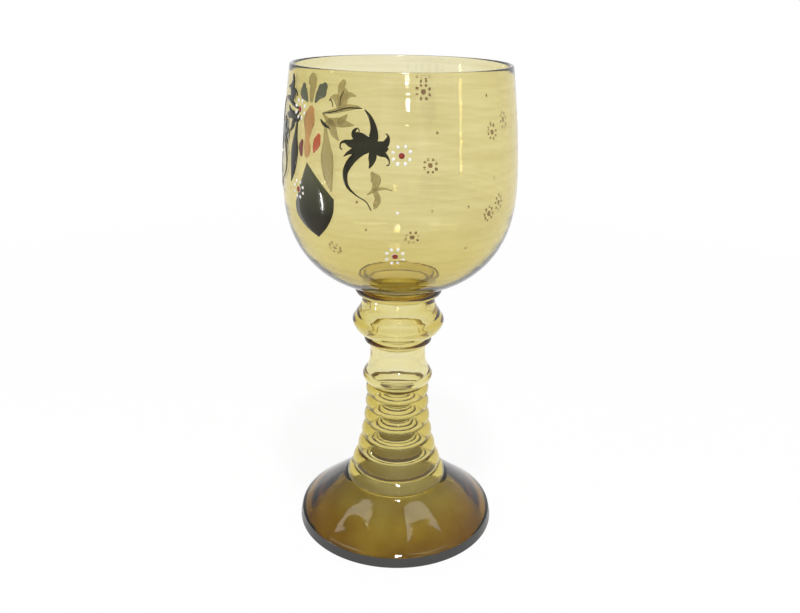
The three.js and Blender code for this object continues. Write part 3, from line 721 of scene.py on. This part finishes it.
# where they sit: degrees and hundredths as above, and for a flower the room in mm that paint under it takes
flowers = [
    (46.5, 69.3, 0), (44, 28.1, 0), (-7.8, 83.6, 0.25), (-6.7, 51.2, 0.25),
    (213.2, 82.5, 0), (152.5, 74.6, 0), (165.8, 67.2, 0), (208.7, 45.7, 0),
    (153.7, 35, 0), (161, 27.7, 0), (215.8, 9.3, 0), (-70.2, 8.4, 0),
]
dots = [
    (45, 46.8), (170.3, 83.7), (204.8, 62.9), (162.6, 45.7), (204.9, 22.8),
    (-109, 13.5), (161.1, 9.2), (-106.8, 27.1), (180.4, 27.5),
]


# one laid drop: a dome whose lowest share is painted as painted shade for its back seen through the glass, at
# a spot of the bowl's face
def layDrop(bm, spot, shift, size, height, turn, material, lift=0):
    across, up = spot
    outward = (onBowl(across, up, 1) - onBowl(across, up, 0)).normalized()
    east = Vector((-outward.y, outward.x, 0)).normalized()
    north = outward.cross(east)
    center = onBowl(across, up, 0) + (east * shift[0] + north * shift[1]) * mm
    facing = center.xy.normalized()
    radius = bowlRadiusAt(center.z / mm)
    center = Vector((facing.x * radius * mm, facing.y * radius * mm, center.z))
    base = Matrix((east, north, outward)).transposed().to_4x4()
    seat = Matrix.Translation(center + outward * (paintSize["gap"] + lift) * mm)
    ball = bmesh.ops.create_icosphere(bm, subdivisions=2, radius=1)["verts"]
    wide = Matrix.Diagonal((size[0] * mm, size[1] * mm, height * mm, 1))
    for vert in ball:
        if vert.co.z < 0:
            vert.co.z *= dotSize["flattened"]
        vert.co.z += dotSize["flattened"]
    bmesh.ops.transform(bm, matrix=seat @ base @ Matrix.Rotation(turn, 4, "Z") @ wide, verts=ball)
    for face in {face for vert in ball for face in vert.link_faces}:
        face.smooth = True
        # the drop's lowest share, its back as seen through the glass, takes the painted shade: brown under
        # white drops, a glowing red under red ones
        below = (face.calc_center_median() - seat.translation).dot(outward) < dotSize["ground"] * height * mm
        face.material_index = (0 if material == 1 else 3) if below else material


def layFlower(number, spot, lift):
    chance = random.Random(400 + number)
    size, spread = dotSize, flowerSpread

    def draw(bm):
        layDrop(bm, spot, (0, 0), (size["halo"], size["halo"] * size["haloNarrow"]), size["haloHeight"],
                0, 1, lift)
        wander = (chance.uniform(-spread["heart"], spread["heart"]),
                  chance.uniform(-spread["heart"], spread["heart"]))
        layDrop(bm, spot, wander, (size["heart"], size["heart"]), size["height"],
                0, 2, lift + size["heartLift"])
        for petal in range(size["petals"]):
            angle = 2 * pi * (petal + 0.5) / size["petals"]
            angle += chance.uniform(-spread["angle"], spread["angle"])
            reach = size["ring"] + chance.uniform(-spread["reach"], spread["reach"])
            wide = size["petal"] * chance.uniform(spread["narrowest"], spread["widest"])
            layDrop(bm, spot, (reach * cos(angle), reach * sin(angle)), (wide * size["length"], wide),
                    size["height"], angle, 1, lift)
    paintPiece(f"enamel_flower_{number}", draw, ["ground", "white", "red", "redBackPaintedGlow"])


for number, (across, up, lift) in enumerate(flowers, 1):
    layFlower(number, (across, up), lift)
for number, spot in enumerate(dots, 1):
    single = dotSize["single"]
    paintPiece(f"enamel_dot_{number}",
               lambda bm: layDrop(bm, spot, (0, 0), (single, single), dotSize["singleHeight"], 0, 1),
               ["ground", "white"])
print("flowers and dots laid")


# floor: white where the camera looks, with the glass's shadow kept
floorSize = dict(half=30.0, shine=0.9, through=0.12, under=0.0, mirrored=0.9, darkTo=0.052, brightFrom=0.06,
                 whiteFrom=0.3, whiteTo=0.8, cloth=(0.92, 0.92, 0.92), roughness=0.6)


def makeFloor():
    bm = bmesh.new()
    bmesh.ops.create_grid(bm, x_segments=1, y_segments=1, size=floorSize["half"])
    shader = Shader("paleFloor")
    cloth = shader.node("BsdfPrincipled", {}, Base_Color=floorSize["cloth"], Roughness=floorSize["roughness"])
    lit = shader.node("Emission", {}, Color=(1.0, 1.0, 1.0), Strength=1.0)
    rays = shader.tree.nodes.new("ShaderNodeLightPath").outputs
    seen, mirrored, through = [Value(shader, rays[name]) for name in
                               ("Is Camera Ray", "Is Glossy Ray", "Is Transmission Ray")]
    reach = shader.node("VectorMath", dict(operation="LENGTH"), shader.place())
    reach = Value(shader, reach.socket.node.outputs["Value"])
    far = shader.node("MapRange", {}, Value=reach, From_Min=floorSize["whiteFrom"],
                      From_Max=floorSize["whiteTo"], To_Min=floorSize["shine"], To_Max=1.0)
    # out to darkTo from the axis, under the foot, the floor adds no white for mirrored or see-through rays,
    # rising to full by brightFrom: a painted shadow disc
    clear = shader.node("MapRange", {}, Value=reach, From_Min=floorSize["darkTo"],
                        From_Max=floorSize["brightFrom"], To_Min=floorSize["under"])
    share = mirrored.math("MAXIMUM", through * (floorSize["through"] / floorSize["mirrored"])) * clear
    share = (seen * far).math("MAXIMUM", share * floorSize["mirrored"])
    floor = newPiece("floor", bm, [shader.finish(shader.node("MixShader", {}, share, cloth, lit))])


# sky: dimmer to the left and towards the zenith, as from-to of the direction and then of the strength. The
# camera itself sees it white
skyLook = dict(dusk=(-0.95, -0.3, 0.45, 0.95), ceiling=(0.15, 0.9, 1.0, 0.5))


def makeWorld():
    world = bpy.data.worlds.new("world")
    bpy.context.scene.world = world
    world.use_nodes = True
    tree = world.node_tree
    sky = tree.nodes["Background"]
    sky.inputs["Color"].default_value = (1, 1, 1, 1)
    ways = tree.nodes.new("ShaderNodeSeparateXYZ")
    tree.links.new(tree.nodes.new("ShaderNodeTexCoord").outputs["Generated"], ways.inputs[0])

    def ranged(axis, spans, interpolation):
        node = tree.nodes.new("ShaderNodeMapRange")
        node.interpolation_type = interpolation
        for name, value in zip(("From Min", "From Max", "To Min", "To Max"), spans):
            node.inputs[name].default_value = value
        tree.links.new(ways.outputs[axis], node.inputs["Value"])
        return node.outputs[0]

    def joined(operation, a, b):
        node = tree.nodes.new("ShaderNodeMath")
        node.operation = operation
        tree.links.new(a, node.inputs[0])
        tree.links.new(b, node.inputs[1])
        return node.outputs[0]

    dim = joined("MULTIPLY", ranged("X", skyLook["dusk"], "SMOOTHSTEP"),
                 ranged("Z", skyLook["ceiling"], "LINEAR"))
    seen = tree.nodes.new("ShaderNodeLightPath").outputs["Is Camera Ray"]
    tree.links.new(joined("MAXIMUM", dim, seen), sky.inputs["Strength"])


# lamps: place, what it looks at, width, height and brightness of its face, and the way that its width runs
lamps = dict(
    upperPane=((0.119, -1.2, 0.4495), (0, 0, 0.2), 0.08, 0.016, 60, (1, 0, 0)),
    lowerPane=((0.125, -1.2, 0.379), (0, 0, 0.2), 0.07, 0.034, 40, (1, 0, 0)),
    skylightLeft=((-0.926, -0.163, 1.207), (0, 0, 0), 0.8, 0.07, 2.5, (0.62, -0.68, 0.38)),
    skylightRight=((0.639, -0.4, 1.332), (0, 0, 0), 0.85, 0.07, 2.5, (0.83, 0.49, -0.26)),
    overhead=((0.045, -0.43, 1.33), (0, 0, 0), 0.11, 0.13, 220, (1, 0, 0)),
    sideGlint=((-0.55, -0.17, 0.07), (0, 0, 0.19), 0.014, 0.08, 130, (0, 1, 0)),
    windowLeft=((-0.36, -1.5, 0.5), (0, 0, 0.2), 0.3, 0.6, 0.28, (1, 0, 0)),
    windowRight=((0.55, -1.5, 0.5), (0, 0, 0.2), 0.3, 0.6, 0.28, (1, 0, 0)),
)


def makeLamps():
    for name, (place, aim, width, height, brightness, along) in lamps.items():
        light = bpy.data.lights.new(name, "AREA")
        light.shape = "RECTANGLE"
        light.size, light.size_y = width, height
        light.energy = brightness * pi * width * height
        lamp = bpy.data.objects.new(name, light)
        lamp.location = place
        away = (Vector(place) - Vector(aim)).normalized()
        upward = away.cross(Vector(along)).normalized()
        lamp.rotation_euler = Matrix((upward.cross(away), upward, away)).transposed().to_euler()
        bpy.context.scene.collection.objects.link(lamp)


makeFloor()
makeWorld()
makeLamps()
bpy.context.scene.view_settings.view_transform = "Standard"
glassFacesCrossed = 48  # light passes many glass faces before it leaves
for kind in ("max_bounces", "transmission_bounces", "glossy_bounces", "transparent_max_bounces"):
    setattr(bpy.context.scene.cycles, kind, glassFacesCrossed)
print("floor, world and lamps set")
